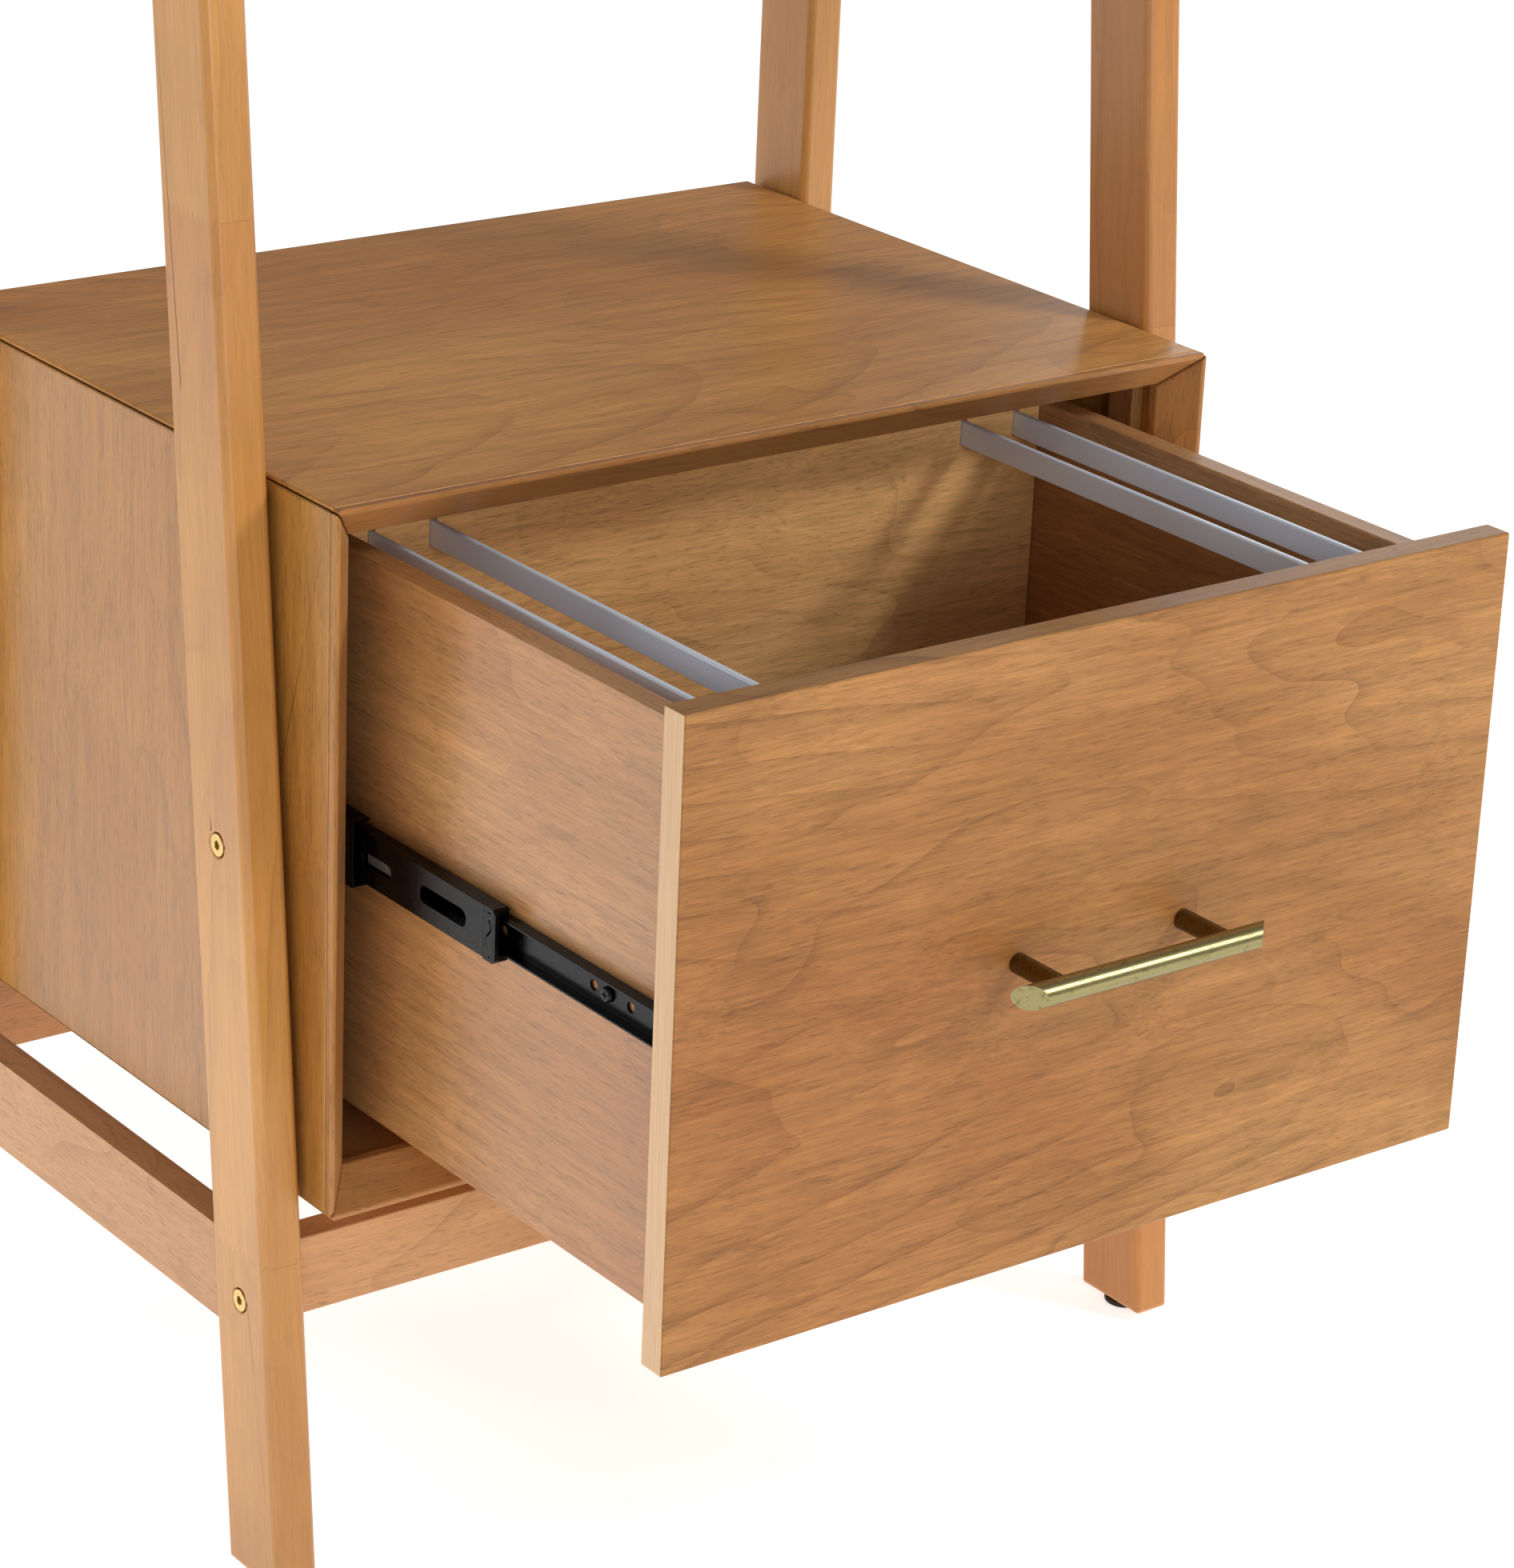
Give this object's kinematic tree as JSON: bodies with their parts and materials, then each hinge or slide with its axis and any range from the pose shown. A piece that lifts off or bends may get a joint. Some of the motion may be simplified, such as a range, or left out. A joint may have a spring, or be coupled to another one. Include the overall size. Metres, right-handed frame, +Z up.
{
  "type": "file drawer unit in leg frame",
  "caption": "Wood file-drawer cabinet slung in a splayed leg frame, drawer partly open on side slides, with hanging-file rails and a round bar handle.",
  "frame": {"origin": "centre of the overall box's footprint on the floor, drawer in its stored part-open position", "axes": "+Z up; -Y is the side the drawer opens towards; +X to the right of someone facing the handle from behind it, looking along +Y"},
  "size_m": [0.5624, 0.6618, 0.79],
  "materials": {
    "cabinet_veneer": "satin stained veneer",
    "lipping_wood": "satin stained wood",
    "front_veneer": "satin stained veneer",
    "drawer_wood": "satin stained wood",
    "packer_wood": "plain wood",
    "leg_wood": "satin stained wood",
    "back_panel": "stained thin panel",
    "rail_steel": "satin grey",
    "slide_black": "black zinc, satin",
    "stop_plastic": "black moulded",
    "spacer_plastic": "black moulded",
    "handle_brass": "aged, brushed",
    "post_bronze": "dark aged",
    "bolt_brass": "satin",
    "screw_steel": "black zinc",
    "glide_plastic": "dark moulded"
  },
  "bodies": {
    "cabinet": {"cabinet_top": "cabinet_veneer", "cabinet_bottom": "cabinet_veneer", "cabinet_side_left": "cabinet_veneer", "cabinet_side_right": "cabinet_veneer", "frame_lipping_top": "lipping_wood", "frame_lipping_bottom": "lipping_wood", "frame_lipping_left": "lipping_wood", "frame_lipping_right": "lipping_wood", "cabinet_back": "back_panel", "slide_packer_left": "packer_wood", "slide_packer_right": "packer_wood", "slide_cabinet_member_left": "slide_black", "slide_cabinet_member_right": "slide_black", "leg_front_left": "leg_wood", "leg_front_right": "leg_wood", "leg_back_left": "leg_wood", "leg_back_right": "leg_wood", "leg_spacer_front_left": "spacer_plastic", "leg_spacer_front_right": "spacer_plastic", "leg_spacer_back_left": "spacer_plastic", "leg_spacer_back_right": "spacer_plastic", "stretcher_left": "leg_wood", "stretcher_right": "leg_wood", "stretcher_front": "leg_wood", "stretcher_back": "leg_wood", "bolt_front_left_upper": "bolt_brass", "bolt_front_left_lower": "bolt_brass", "bolt_front_right_upper": "bolt_brass", "bolt_front_right_lower": "bolt_brass", "bolt_back_left_upper": "bolt_brass", "bolt_back_left_lower": "bolt_brass", "bolt_back_right_upper": "bolt_brass", "bolt_back_right_lower": "bolt_brass", "foot_glide_front_left": "glide_plastic", "foot_glide_front_right": "glide_plastic", "foot_glide_back_left": "glide_plastic", "foot_glide_back_right": "glide_plastic"},
    "drawer": {"drawer_front": "front_veneer", "drawer_side_left": "drawer_wood", "drawer_side_right": "drawer_wood", "drawer_back": "drawer_wood", "drawer_bottom": "drawer_wood", "file_rail_outer_left": "rail_steel", "file_rail_inner_left": "rail_steel", "file_rail_inner_right": "rail_steel", "file_rail_outer_right": "rail_steel", "handle_bar": "handle_brass", "handle_post_left": "post_bronze", "handle_post_right": "post_bronze", "handle_screw_left": "screw_steel", "handle_screw_right": "screw_steel", "slide_drawer_member_left": "slide_black", "slide_drawer_member_right": "slide_black", "slide_screw_left": "screw_steel", "slide_screw_right": "screw_steel"},
    "slide_middle_left": {"slide_middle_member_left": "slide_black", "slide_end_stop_left": "stop_plastic"},
    "slide_middle_right": {"slide_middle_member_right": "slide_black", "slide_end_stop_right": "stop_plastic"}
  },
  "joints": [
    {"name": "drawer_slide", "type": "slide", "parent": "cabinet", "child": "drawer", "axis": [0, -1, 0], "range_m": [-0.2405, 0.0595]},
    {"name": "slide_middle_left_travel", "type": "slide", "parent": "cabinet", "child": "slide_middle_left", "axis": [0, -1, 0], "range_m": [-0.121, 0.0305]},
    {"name": "slide_middle_right_travel", "type": "slide", "parent": "cabinet", "child": "slide_middle_right", "axis": [0, -1, 0], "range_m": [-0.121, 0.0305]}
  ],
  "couplings": [
    {"joint": "slide_middle_left_travel", "follows": "drawer_slide", "ratio": 0.5},
    {"joint": "slide_middle_right_travel", "follows": "drawer_slide", "ratio": 0.5}
  ]
}
